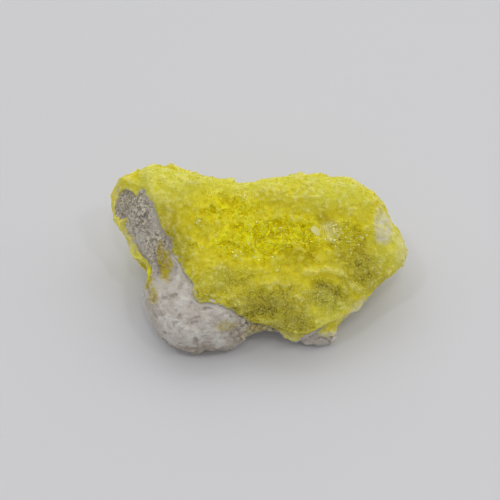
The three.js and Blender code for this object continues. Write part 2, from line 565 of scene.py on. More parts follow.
class Graph:
    """A material's node tree, with a short call for each node that the finishes use."""

    def __init__(self, name: str) -> None:
        """Makes an empty material.

        Args:
            name: The material's name.
        """
        self.material = bpy.data.materials.new(name)
        self.material.use_nodes = True
        self.tree = self.material.node_tree
        self.shader = self.tree.nodes["Principled BSDF"]
        self.place = self.tree.nodes.new("ShaderNodeTexCoord").outputs["Object"]

    def _put(self, socket: bpy.types.NodeSocket, value: object) -> None:
        """Links a socket to another one, or sets its value.

        Args:
            socket: The socket that takes the value.
            value: A socket, or a constant.
        """
        if isinstance(value, bpy.types.NodeSocket):
            self.tree.links.new(value, socket)
        else:
            socket.default_value = value

    def share(self, name: str) -> bpy.types.NodeSocket:
        """A value stored at the mesh's corners.

        Args:
            name: The name it is stored under.

        Returns:
            The value's socket.
        """
        node = self.tree.nodes.new("ShaderNodeAttribute")
        node.attribute_name = name
        return node.outputs["Fac"]

    def lumps(self, size: float, detail: float = 3.0, rough: float = 0.55) -> bpy.types.NodeSocket:
        """Soft noise from 0 to 1.

        Args:
            size: Width of its broadest lumps, in millimetres.
            detail: How many finer sizes are added.
            rough: How strong the finer sizes are.

        Returns:
            The noise's value.
        """
        node = self.tree.nodes.new("ShaderNodeTexNoise")
        self._put(node.inputs["Vector"], self.place)
        node.inputs["Scale"].default_value = 1.0 / (size * MM)
        node.inputs["Detail"].default_value = detail
        node.inputs["Roughness"].default_value = rough
        return node.outputs["Fac"]

    def cells(self, size: float, output: str = "Distance") -> bpy.types.NodeSocket:
        """Pebble-like cells.

        Args:
            size: Width of a cell, in millimetres.
            output: "Distance" from the cell's middle, or a "Color" of each cell's own.

        Returns:
            The output's socket.
        """
        node = self.tree.nodes.new("ShaderNodeTexVoronoi")
        self._put(node.inputs["Vector"], self.place)
        node.inputs["Scale"].default_value = 1.0 / (size * MM)
        return node.outputs[output]

    def times(self, a: object, b: object) -> bpy.types.NodeSocket:
        """The product of two values, each one a socket or a number."""
        return self._worked_out("MULTIPLY", a, b)

    def plus(self, a: object, b: object) -> bpy.types.NodeSocket:
        """The sum of two values, each one a socket or a number."""
        return self._worked_out("ADD", a, b)

    def _worked_out(self, kind: str, a: object, b: object) -> bpy.types.NodeSocket:
        """Works out two values, cut off below 0 and above 1.

        Args:
            kind: The math node's operation.
            a: A socket or a number.
            b: A socket or a number.

        Returns:
            The result.
        """
        node = self.tree.nodes.new("ShaderNodeMath")
        node.operation = kind
        node.use_clamp = True
        self._put(node.inputs[0], a)
        self._put(node.inputs[1], b)
        return node.outputs[0]

    def band(
        self, value: object, low: float, high: float, to: tuple[float, float] = (0.0, 1.0)
    ) -> bpy.types.NodeSocket:
        """Spreads a stretch of values over another one.

        Args:
            value: A socket or a number.
            low: Where the stretch starts.
            high: Where it ends.
            to: What the start and the end become.

        Returns:
            The spread value.
        """
        node = self.tree.nodes.new("ShaderNodeMapRange")
        node.clamp = True
        self._put(node.inputs["Value"], value)
        node.inputs["From Min"].default_value = low
        node.inputs["From Max"].default_value = high
        node.inputs["To Min"].default_value = to[0]
        node.inputs["To Max"].default_value = to[1]
        return node.outputs["Result"]

    def blend(self, share: object, under: object, over: object) -> bpy.types.NodeSocket:
        """Lays one colour over another.

        Args:
            share: How much of the upper one shows.
            under: The colour below, a socket or a linear colour.
            over: The colour above, a socket or a linear colour.

        Returns:
            The blended colour.
        """
        node = self.tree.nodes.new("ShaderNodeMix")
        node.data_type = "RGBA"
        self._put(node.inputs["Factor"], share)
        self._put(node.inputs[6], under)
        self._put(node.inputs[7], over)
        return node.outputs[2]

    def layered(self, under: object, layers: tuple[tuple[object, Colour], ...]) -> bpy.types.NodeSocket:
        """Lays colours over another one, the first of them lowest.

        Args:
            under: The colour below, a socket or a linear colour.
            layers: How much of each colour shows, and the colour as it looks.

        Returns:
            The blended colour.
        """
        for share, over in layers:
            under = self.blend(share, under, linear(over))
        return under

    def bump(
        self, height: object, depth: float, under: bpy.types.NodeSocket | None = None
    ) -> bpy.types.NodeSocket:
        """A bumpy normal.

        Args:
            height: The bumps' height, from 0 to 1.
            depth: What 1 stands for, in millimetres.
            under: The normal below it.

        Returns:
            The new normal.
        """
        node = self.tree.nodes.new("ShaderNodeBump")
        node.inputs["Strength"].default_value = 1.0
        node.inputs["Distance"].default_value = depth * MM
        self._put(node.inputs["Height"], height)
        if under is not None:
            self._put(node.inputs["Normal"], under)
        return node.outputs["Normal"]

    def flakes(self, size: float, tilt: object, under: bpy.types.NodeSocket) -> bpy.types.NodeSocket:
        """A normal that is turned a little in each small cell, as on many tiny crystal faces.

        Args:
            size: Width of a cell, in millimetres.
            tilt: How far the normals are turned, a socket or a number.
            under: The normal below it.

        Returns:
            The new normal.
        """
        middle = self.vector("SUBTRACT", self.cells(size, "Color"), (0.5, 0.5, 0.5))
        turned = self.vector("MULTIPLY", middle, tilt)
        return self.vector("NORMALIZE", self.vector("ADD", under, turned), (0.0, 0.0, 0.0))

    def vector(self, kind: str, a: object, b: object) -> bpy.types.NodeSocket:
        """Works out two vectors.

        Args:
            kind: The vector math node's operation.
            a: A socket or three numbers.
            b: A socket or three numbers.

        Returns:
            The result.
        """
        node = self.tree.nodes.new("ShaderNodeVectorMath")
        node.operation = kind
        self._put(node.inputs[0], a)
        self._put(node.inputs[1], b)
        return node.outputs[0]

    def shade(self, **values: object) -> bpy.types.Material:
        """Sets the shader's sockets.

        Args:
            **values: A socket or a constant by the socket's name, with _ for a space.

        Returns:
            The material.
        """
        for name, value in values.items():
            self._put(self.shader.inputs[name.replace("_", " ")], value)
        return self.material


@dataclass(frozen=True)
class SulfurFinish:
    """Yellow sulfur, from powdery to glassy by the shares stored on the mesh.

    Args:
        name: The material's name.
        translucency: How much of the light spreads below the surface.
        plain: The dry sulfur that the others lie on.
        deep: Glassy sulfur.
        hollow: Deeper yellow for clouds in the glassy sulfur, and painted shade in its hollows.
        ochre: Brownish stained sulfur.
        dust_and_shade: Olive dust, laid on more thickly over the front as painted shade.
        dust_hollow_shade: The darkest olive, painted shade in the hollows of the dusty parts.
        pale: Powder.
        crest_highlight: Paler sulfur on the crests, a painted highlight.
        white: Chalky white rind.
        grey: Light grains of the rock where the crust is bare.
        speck: Dark grains of the rock there.
        roughness: Dry and glassy roughness.
        bump_depth: Height of the finest bumps, in millimetres.
    """

    name: str = "native_sulfur"
    translucency: float = 1.0
    plain: Colour = (226, 215, 58)
    deep: Colour = (255, 244, 0)
    hollow: Colour = (228, 210, 0)
    ochre: Colour = (188, 168, 16)
    dust_and_shade: Colour = (130, 117, 52)
    dust_hollow_shade: Colour = (100, 90, 34)
    pale: Colour = (221, 217, 80)
    crest_highlight: Colour = (238, 233, 150)
    white: Colour = (222, 217, 188)
    grey: Colour = (222, 214, 194)
    speck: Colour = (138, 130, 116)
    roughness: tuple[float, float] = (0.6, 0.12)
    bump_depth: float = 0.09

    def colour(self, graph: Graph) -> bpy.types.NodeSocket:
        """The sulfur's colour.

        Args:
            graph: The material to add it to.

        Returns:
            The colour's socket.
        """
        crest = graph.band(graph.share("crest"), -0.16, 0.20)
        grain = graph.band(graph.lumps(0.6, 4.0, 0.75), 0.36, 0.66)
        cloud = graph.band(graph.lumps(2.6, 3.0), 0.34, 0.64)
        patchy = graph.band(graph.lumps(1.1), 0.32, 0.55, (0.35, 1.0))
        glass, dust_and_shade = graph.share("glassy"), graph.share("dust_and_shade")
        # Painted shade: the glassy sulfur turns deeper yellow in its hollows.
        hollows = graph.times(graph.band(crest, 0.55, 0.0), graph.band(glass, 0.0, 1.0, (0.45, 1.0)))
        # Painted highlight: the crests turn paler, broken up by the grain and weaker where it is glassy.
        lit_crests = graph.times(graph.band(crest, 0.62, 1.0), graph.band(grain, 0.0, 1.0, (0.2, 0.75)))
        layers = (
            (glass, self.deep),
            (hollows, self.hollow),
            (graph.times(glass, graph.band(cloud, 0.55, 1.0, (0.0, 0.4))), self.hollow),
            (graph.times(graph.share("ochre"), graph.band(cloud, 0.0, 1.0, (0.45, 1.0))), self.ochre),
            # Olive dust, laid on more thickly over the front as painted shade.
            (graph.times(dust_and_shade, graph.band(grain, 0.0, 1.0, (1.0, 0.45))), self.dust_and_shade),
            # Painted shade: the darkest olive in the hollows of the dusty parts.
            (graph.times(dust_and_shade, graph.band(crest, 0.34, 0.08)), self.dust_hollow_shade),
            (graph.times(graph.share("powder"), graph.band(cloud, 0.0, 1.0, (0.55, 1.0))), self.pale),
            (graph.times(lit_crests, graph.band(glass, 0.2, 0.8, (1.0, 0.3))), self.crest_highlight),
            (graph.times(graph.share("chalk"), patchy), self.white),
        )
        grit = graph.band(graph.lumps(0.5, 4.0, 0.75), 0.38, 0.6)
        bare = graph.blend(grit, linear(self.speck), linear(self.grey))
        crust = graph.layered(linear(self.plain), layers)
        return graph.blend(graph.band(graph.share("bare"), 0.35, 0.6), crust, bare)

    def material(self) -> bpy.types.Material:
        """Builds the material.

        Returns:
            The new material.
        """
        graph = Graph(self.name)
        glass = graph.share("glassy")
        dull = graph.band(glass, 0.0, 1.0, self.roughness)
        dull = graph.plus(dull, graph.band(graph.share("powder"), 0.0, 1.0, (0.0, 0.25)))
        rough = graph.band(glass, 0.0, 1.0, (1.0, 0.15))
        fine = graph.bump(graph.times(graph.lumps(0.35, 3.0, 0.7), rough), self.bump_depth)
        pebbly = graph.bump(graph.times(graph.cells(0.55), rough), self.bump_depth, fine)
        normal = graph.flakes(0.6, graph.band(glass, 0.1, 0.8, (0.0, 0.7)), pebbly)
        return graph.shade(
            Base_Color=self.colour(graph),
            Roughness=dull,
            IOR=1.5,
            Specular_IOR_Level=0.35,
            Specular_Tint=(1.0, 0.94, 0.45, 1.0),
            Subsurface_Weight=self.translucency,
            Subsurface_Radius=(1.0, 0.85, 0.12),
            Subsurface_Scale=0.0012,
            Normal=normal,
        )


@dataclass(frozen=True)
class CrystalFinish:
    """Sulfur crystal, clear or milky.

    Args:
        name: The material's name.
        tint: Its colour where it is brightest.
        deep: Its colour where it is deepest.
        clarity: How much of the light goes through it.
        roughness: How rough its faces are.
        ior: How strongly it bends light.
    """

    name: str
    tint: Colour
    deep: Colour
    clarity: float
    roughness: float
    ior: float = 1.7

    def material(self) -> bpy.types.Material:
        """Builds the material.

        Returns:
            The new material.
        """
        graph = Graph(self.name)
        cloud = graph.band(graph.lumps(0.9, 3.0), 0.35, 0.65)
        colour = graph.blend(cloud, linear(self.deep), linear(self.tint))
        return graph.shade(
            Base_Color=colour,
            Roughness=self.roughness,
            IOR=self.ior,
            Specular_Tint=(1.0, 0.95, 0.45, 1.0),
            Transmission_Weight=self.clarity,
        )


CLEAR = CrystalFinish("clear_sulfur", (255, 246, 40), (252, 238, 4), 0.28, 0.15, 2.0)
MILKY = CrystalFinish("milky_sulfur", (255, 250, 190), (250, 243, 140), 0.1, 0.2)
# Near-white: painted glints on small crystals.
GLINT_PAINT = CrystalFinish("painted_glint_sulfur", (255, 255, 205), (255, 254, 160), 0.0, 0.2)
FROSTED = CrystalFinish("frosted_sulfur", (255, 252, 176), (252, 246, 138), 0.1, 0.35)


@dataclass(frozen=True)
class RockFinish:
    """Altered rock: white and chalky, or grey and gritty where it broke.

    Args:
        name: The material's name.
        chalk: The white rock.
        shade: Its greyer patches, and painted shade in its hollows.
        cream: Its yellowish clouds.
        broken: Light grains where it broke.
        speck: Dark grains, and dirt in the pores.
        stain: A yellow film of sulfur.
        ochre: Brown spots in the film.
        foot_shade: Brownish grey painted shade low down, towards the foot.
    """

    name: str = "altered_rock"
    chalk: Colour = (211, 208, 201)
    shade: Colour = (188, 180, 172)
    cream: Colour = (206, 197, 168)
    broken: Colour = (226, 218, 202)
    speck: Colour = (108, 101, 92)
    stain: Colour = (184, 169, 58)
    ochre: Colour = (160, 136, 44)
    foot_shade: Colour = (150, 138, 122)

    def material(self) -> bpy.types.Material:
        """Builds the material.

        Returns:
            The new material.
        """
        graph = Graph(self.name)
        stain = graph.share("stain")
        crest = graph.band(graph.share("crest"), -0.25, 0.15)
        broad = graph.band(graph.lumps(4.5, 3.0), 0.35, 0.65)
        clouds = graph.band(graph.lumps(3.2, 3.0), 0.55, 0.75, (0.0, 0.5))
        grit = graph.band(graph.lumps(0.8, 4.0, 0.75), 0.36, 0.58)
        pores = graph.band(graph.lumps(1.0, 4.0, 0.8), 0.5, 0.68)
        wash = graph.band(graph.lumps(1.8, 4.0, 0.7), 0.3, 0.6, (1.0, 0.3))
        # Painted shade: greyer in the hollows, whiter on the crests.
        whole = graph.blend(graph.times(broad, crest), linear(self.shade), linear(self.chalk))
        whole = graph.blend(clouds, whole, linear(self.cream))
        # Painted light and shade on the broken rock: light grains on the crests, dark specks in the
        # hollows.
        lit = graph.times(grit, graph.band(crest, 0.0, 0.45, (0.3, 1.0)))
        broken = graph.blend(lit, linear(self.speck), linear(self.broken))
        layers = (
            (graph.times(pores, graph.band(crest, 0.6, 0.0, (0.0, 0.7))), self.speck),
            # Painted shade: brownish grey low down, towards the foot.
            (graph.times(graph.share("foot_shade"), wash), self.foot_shade),
            (graph.times(stain, graph.band(graph.lumps(1.4), 0.3, 0.55, (0.3, 1.0))), self.stain),
            (graph.times(stain, graph.band(graph.lumps(1.9), 0.5, 0.66, (0.0, 0.8))), self.ochre),
        )
        colour = graph.layered(graph.blend(graph.share("broken"), whole, broken), layers)
        fine = graph.bump(graph.lumps(0.35, 3.0, 0.7), 0.10)
        return graph.shade(
            Base_Color=colour,
            Roughness=0.92,
            IOR=1.45,
            Specular_IOR_Level=0.3,
            Normal=graph.bump(graph.lumps(1.0, 4.0, 0.7), 0.18, fine),
        )


@dataclass(frozen=True)
class TableFinish:
    """A plain pale table top.

    Args:
        name: The material's name.
        colour: Its colour as it looks.
    """

    name: str = "pale_table"
    colour: Colour = (211, 211, 214)

    def material(self) -> bpy.types.Material:
        """Builds the material."""
        return Graph(self.name).shade(Base_Color=linear(self.colour), Roughness=0.7, IOR=1.4)


# --- Strewn grains ---------------------------------------------------------------------


class Habit(Enum):
    """The shapes that grains and crystals come in: rock grains, sugary grains and crystals."""

    GRAIN = "grain"
    SUGAR = "sugar"
    DIPYRAMID = "dipyramid"


def icosahedron() -> tuple[np.ndarray, np.ndarray]:
    """A grain of twenty faces.

    Returns:
        Its corners, one unit from its middle, and its faces.
    """
    shape = bmesh.new()
    bmesh.ops.create_icosphere(shape, subdivisions=1, radius=1.0)
    points = np.array([list(v.co) for v in shape.verts])
    faces = np.array([[v.index for v in f.verts] for f in shape.faces])
    shape.free()
    return points, faces


def octahedron() -> tuple[np.ndarray, np.ndarray]:
    """A sugary grain of eight faces.

    Returns:
        Its corners, one unit from its middle, and its faces.
    """
    points = np.array([(1, 0, 0), (0, 1, 0), (-1, 0, 0), (0, -1, 0), (0, 0, 1), (0, 0, -1)], float)
    faces = [(a, (a + 1) % 4, 4) for a in range(4)] + [((a + 1) % 4, a, 5) for a in range(4)]
    return points, np.array(faces)


def dipyramid() -> tuple[np.ndarray, np.ndarray]:
    """A sulfur crystal: two blunt pyramids of four sides with a steeper pair between them.

    Returns:
        Its corners, within one unit of its middle, and its faces.
    """
    rings = ((-0.86, 0.2), (-0.55, 0.62), (-0.06, 1.0), (0.06, 1.0), (0.55, 0.62), (0.86, 0.2))
    width, depth = 0.62, 0.52
    points = []
    for height, share in rings:
        points += [
            (width * share, 0.0, height),
            (0.0, depth * share, height),
            (-width * share, 0.0, height),
            (0.0, -depth * share, height),
        ]
    faces = [(0, 2, 1), (0, 3, 2)]
    for ring in range(len(rings) - 1):
        for side in range(4):
            low, next_low = 4 * ring + side, 4 * ring + (side + 1) % 4
            faces += [(low, next_low, next_low + 4), (low, next_low + 4, low + 4)]
    top = 4 * (len(rings) - 1)
    faces += [(top, top + 1, top + 2), (top, top + 2, top + 3)]
    return np.array(points), np.array(faces)


SHAPES = {Habit.GRAIN: icosahedron, Habit.SUGAR: octahedron, Habit.DIPYRAMID: dipyramid}


def turns(rng: np.random.Generator, ups: np.ndarray, lean: float) -> np.ndarray:
    """Turns that stand a shape on a surface.

    Args:
        rng: The source of chance.
        ups: The way each surface faces.
        lean: How far a shape may lean away from it, in units of its own length.

    Returns:
        One 3 by 3 matrix for each shape.
    """
    axis = ups + lean * rng.normal(size=ups.shape)
    axis /= np.linalg.norm(axis, axis=1, keepdims=True)
    side = np.cross(axis, rng.normal(size=ups.shape))
    side /= np.linalg.norm(side, axis=1, keepdims=True)
    return np.stack([side, np.cross(axis, side), axis], axis=2)


@dataclass(frozen=True)
class Bed:
    """A surface that grains can be strewn over.

    Args:
        points: Its corners, in millimetres.
        faces: Three corner numbers for each face.
        normals: The way it faces at each corner.
        stored: The values at its corners, by the name that its finish reads.
    """

    points: np.ndarray
    faces: np.ndarray
    normals: np.ndarray
    stored: dict[str, np.ndarray]

    @classmethod
    def of(cls, mesh: bpy.types.Mesh, stored: dict[str, np.ndarray]) -> "Bed":
        """Takes the surface of a mesh.

        Args:
            mesh: A mesh of triangles.
            stored: The values at its corners.

        Returns:
            The bed.
        """
        flat = np.zeros(len(mesh.polygons) * 3, np.int32)
        mesh.polygons.foreach_get("vertices", flat)
        return cls(corners_of(mesh), flat.reshape(-1, 3), normals_of(mesh), stored)

    def pick(
        self, rng: np.random.Generator, count: int, density: np.ndarray
    ) -> tuple[np.ndarray, np.ndarray]:
        """Picks places on the surface.

        Args:
            rng: The source of chance.
            count: How many places.
            density: How likely each corner is, per area.

        Returns:
            The faces picked, and the three corners' shares in each place.
        """
        a, b, c = (self.points[self.faces[:, i]] for i in range(3))
        area = np.linalg.norm(np.cross(b - a, c - a), axis=1)
        chance = area * density[self.faces].mean(axis=1)
        picked = rng.choice(len(self.faces), size=count, p=chance / chance.sum())
        mix = rng.dirichlet((1.0, 1.0, 1.0), size=count)
        return picked, mix

    def at(self, values: np.ndarray, picked: np.ndarray, mix: np.ndarray) -> np.ndarray:
        """The values of the corners, mixed for each picked place."""
        return np.einsum("ni,ni...->n...", mix, values[self.faces[picked]])


@dataclass(frozen=True)
class Strewing:
    """Many small closed bodies strewn over a bed as one joined mesh.

    Args:
        name: The piece's name.
        habit: Their shape.
        count: How many there are.
        size: Half the width of a middling one.
        spread: How much their sizes differ.
        stretch: Their sizes along their own X, Y and Z.
        lean: How far they lean away from the surface's normal.
        sink: How deep they sit, in half widths; less than 0 stands proud.
        rough: How uneven their corners are.
        seed: The seed of their places and turns.
        tone: How far out they count as standing, which sets their painted crest light and hollow shade, at
            least and at most.
    """

    name: str
    habit: Habit
    count: int
    size: float
    spread: float = 0.3
    stretch: tuple[float, float, float] = (1.0, 1.0, 1.0)
    lean: float = 1.5
    sink: float = 0.2
    rough: float = 0.12
    seed: int = 1
    tone: tuple[float, float] = (-0.05, 0.16)

    def build(self, bed: Bed, density: np.ndarray) -> bpy.types.Object:
        """Makes the joined mesh.

        Args:
            bed: The surface.
            density: How thickly each corner of the bed is strewn.

        Returns:
            The piece, with the bed's shares stored on it.
        """
        rng = np.random.default_rng(self.seed)
        corners, faces = SHAPES[self.habit]()
        picked, mix = bed.pick(rng, self.count, density)
        ups = bed.at(bed.normals, picked, mix)
        ups /= np.linalg.norm(ups, axis=1, keepdims=True)
        sizes = self.size * np.exp(self.spread * rng.normal(size=self.count))
        middles = bed.at(bed.points, picked, mix) - ups * (self.sink * sizes)[:, None]
        shape = corners[None] * (1.0 + self.rough * rng.normal(size=(self.count, len(corners), 1)))
        shape = shape * np.array(self.stretch) * sizes[:, None, None]
        shape = np.einsum("nij,nkj->nki", turns(rng, ups, self.lean), shape) + middles[:, None]
        inside = np.all((shape > LOW) & (shape < HIGH), axis=(1, 2))
        shape, picked, mix = shape[inside], picked[inside], mix[inside]
        starts = np.arange(len(shape))[:, None, None] * len(corners)
        mesh = mesh_of(self.name, shape.reshape(-1, 3), (faces[None] + starts).reshape(-1, 3))
        stored = {name: bed.at(values, picked, mix) for name, values in bed.stored.items()}
        stored["crest"] = rng.uniform(*self.tone, len(shape))
        store(mesh, {name: np.repeat(values, len(corners)) for name, values in stored.items()})
        mesh.shade_flat()
        return shown(self.name, mesh)


@dataclass(frozen=True)
class Prism:
    """A long crystal that runs from one place to another.

    Args:
        foot: Where it grows from.
        tip: Where it ends.
        width: How thick it is in the middle.
    """

    foot: tuple[float, float, float]
    tip: tuple[float, float, float]
    width: float

    def corners(self, shape: np.ndarray) -> np.ndarray:
        """Stretches a crystal from the foot to the tip.

        Args:
            shape: A crystal's corners, about its middle.

        Returns:
            The corners' places, in millimetres.
        """
        axis = Vector(self.tip) - Vector(self.foot)
        turn = np.array(axis.to_track_quat("Z", "Y").to_matrix())
        reach = np.abs(shape).max(axis=0)
        sizes = np.array([self.width / 2, self.width / 2, axis.length / 2]) / reach
        middle = (np.array(self.foot) + np.array(self.tip)) / 2
        return (shape * sizes) @ turn.T + middle


@dataclass(frozen=True)
class Spray:
    """Long crystals that are joined in one mesh.

    Args:
        name: The piece's name.
        prisms: The crystals.
    """

    name: str
    prisms: tuple[Prism, ...]

    def build(self) -> bpy.types.Object:
        """Makes the joined mesh.

        Returns:
            The piece.
        """
        shape, faces = dipyramid()
        points = np.concatenate([prism.corners(shape) for prism in self.prisms])
        starts = np.arange(len(self.prisms))[:, None, None] * len(shape)
        mesh = mesh_of(self.name, points, (faces[None] + starts).reshape(-1, 3))
        mesh.shade_flat()
        return shown(self.name, mesh)


# --- The rock --------------------------------------------------------------------------

ROCK_KINDS = ("broken", "stain", "foot_shade")


@dataclass(frozen=True)
class Chip:
    """A chip of the rock that shows under the crust's edge.

    Args:
        name: The piece's name.
        at: Its middle.
        radii: Its half sizes.
        crest_rounds: Smoothing that tells its crests from its hollows.
    """

    name: str
    at: tuple[float, float, float]
    radii: tuple[float, float, float]
    crest_rounds: int = 12

    def build(self) -> bpy.types.Object:
        """Makes the chip.

        Returns:
            The piece, with the shares that the rock's finish reads.
        """
        shape = ball(self.radii, self.at)
        mesh = bpy.data.meshes.new(self.name)
        shape.to_mesh(mesh)
        shape.free()
        points = corners_of(mesh)
        relief = 0.3 * lumps(points, 3.5, 8) + 0.12 * lumps(points, 1.0, 9)
        relief += np.clip(facets(points, 3.0, 0.35, 10), -0.35, 0.35)
        move_corners(mesh, np.clip(points + normals_of(mesh) * relief[:, None], LOW, HIGH))
        plain = {name: np.zeros(len(points)) for name in ROCK_KINDS}
        store(mesh, plain | {"crest": crests(mesh, self.crest_rounds)})
        return shown(self.name, mesh)


@dataclass
class MatrixRock:
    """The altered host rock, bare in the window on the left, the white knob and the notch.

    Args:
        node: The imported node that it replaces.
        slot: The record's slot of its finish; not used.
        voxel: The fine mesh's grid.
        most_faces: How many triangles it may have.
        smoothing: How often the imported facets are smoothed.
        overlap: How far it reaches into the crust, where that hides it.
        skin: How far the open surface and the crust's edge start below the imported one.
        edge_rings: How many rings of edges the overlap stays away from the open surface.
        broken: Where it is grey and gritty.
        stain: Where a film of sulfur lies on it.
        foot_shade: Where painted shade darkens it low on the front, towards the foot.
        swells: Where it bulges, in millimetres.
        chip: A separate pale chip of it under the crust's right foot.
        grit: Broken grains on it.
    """

    node: str = "matrix_rock"
    slot: str = "altered_rock"
    voxel: float = 0.3
    most_faces: int = 150_000
    smoothing: int = 8
    overlap: float = 0.45
    skin: float = 0.1
    edge_rings: int = 5
    broken: tuple[Patch, ...] = (
        Patch((-31, 8, 23), (7, 9, 8)),
        Patch((-26, 1, 18), (4.5, 6, 5)),
        Patch((-3, -18, 8), (5, 5, 6)),
        Patch((3, -18, 5), (7, 5, 5)),
    )
    stain: tuple[Patch, ...] = (
        Patch((-27.6, -7, 13), (2.2, 2.6, 2.6)),
        Patch((-26, -11.5, 13.5), (2.0, 3.2, 2.6), 0.8),
        Patch((-23.4, -3.6, 15.4), (2.3, 5.2, 3.2), 1.0, 0.3),
        Patch((-24.5, 0.5, 16.5), (1.2, 3.5, 2.5), 0.9),
        Patch((1, -18, 7), (6, 4, 3), 0.6),
        Patch((-8, -19.5, 11.5), (4, 2, 2), 0.5),
    )
    # Painted shade low on the front, where the knob is darker towards the foot.
    foot_shade: tuple[Patch, ...] = (
        Patch((-15, -20, 3), (14, 6, 5)),
        Patch((-6, -19, 8), (5, 4, 5), 0.7),
        Patch((-20, -12, 8), (8, 8, 5), 0.4),
    )
    swells: tuple[Patch, ...] = (Patch((18.5, -16.5, 4), (7, 5, 5), 2.6, 0.8),)
    chip: Chip = Chip("white_chip", (14.9, -16.2, 2.6), (4.6, 2.3, 1.8))
    grit: Strewing = Strewing("rock_grit", Habit.GRAIN, 5200, 0.24, spread=0.45, rough=0.2, seed=5)
    piece: bpy.types.Object = field(init=False)
    bed: Bed = field(init=False)

    def kinds(self, points: np.ndarray) -> dict[str, np.ndarray]:
        """The share of each kind of rock at each place, by the name that the finish reads."""
        stray = 0.2 * lumps(points, 3.0, 6)
        return {name: shares(getattr(self, name), points, stray) for name in ROCK_KINDS}

    def shape(self, mesh: bpy.types.Mesh, covered: np.ndarray) -> None:
        """Gives the fine mesh its relief.

        Args:
            mesh: The fine mesh.
            covered: True at each corner under the crust.
        """
        points, normals = corners_of(mesh), normals_of(mesh)
        kinds = self.kinds(points)
        broken = kinds["broken"]
        # Humps and knobs, then pebbles and grit, all of them calmer where the rock broke.
        relief = 0.6 * lumps(points, 5.0, 4) + 0.5 * (1.0 - broken) * (cells(points, 2.6, 2) - 0.5)
        relief += (0.16 + 0.08 * broken) * (cells(points, 1.1, 3) - 0.55)
        relief += 0.26 * lumps(points, 1.1, 5)
        relief *= 1.0 - 0.35 * broken
        # Pits, shallower where the rock broke. The film of sulfur stands a little proud.
        pits = smooth((lumps(points, 2.6, 7) - 0.3) / 0.5)
        relief -= 0.5 * pits * (1.0 - 0.5 * broken) - 0.25 * kinds["stain"]
        relief += pushes(self.swells, points)
        relief = np.where(covered, -self.skin, relief - self.skin)
        relief[inner(mesh, covered, self.edge_rings)] = self.overlap
        move_corners(mesh, np.clip(points + normals * relief[:, None], LOW, HIGH))

    def build(self, crust: Surface) -> None:
        """Builds the rock.

        Args:
            crust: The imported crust, which hides part of the rock.
        """
        mesh = refined(welded(self.node), self.voxel, self.smoothing)
        covered = crust.faces_closely(corners_of(mesh), normals_of(mesh), TOUCH)
        self.shape(mesh, covered)
        mesh = thinned(mesh, covered, self.most_faces)
        stored = self.kinds(corners_of(mesh)) | {"crest": crests(mesh, CREST_ROUNDS)}
        store(mesh, stored)
        self.bed = Bed.of(mesh, stored)
        self.piece = shown("rock_lump", mesh)

    def dress(self) -> None:
        """Finishes the rock and strews grit over its broken places."""
        material = RockFinish().material()
        finished(self.piece, material)
        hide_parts(self.node)
        finished(self.chip.build(), material)
        finished(self.grit.build(self.bed, self.bed.stored["broken"] + 0.03), material)


# --- The crust -------------------------------------------------------------------------

CRUST_KINDS = ("glassy", "ochre", "dust_and_shade", "powder", "chalk", "bare")


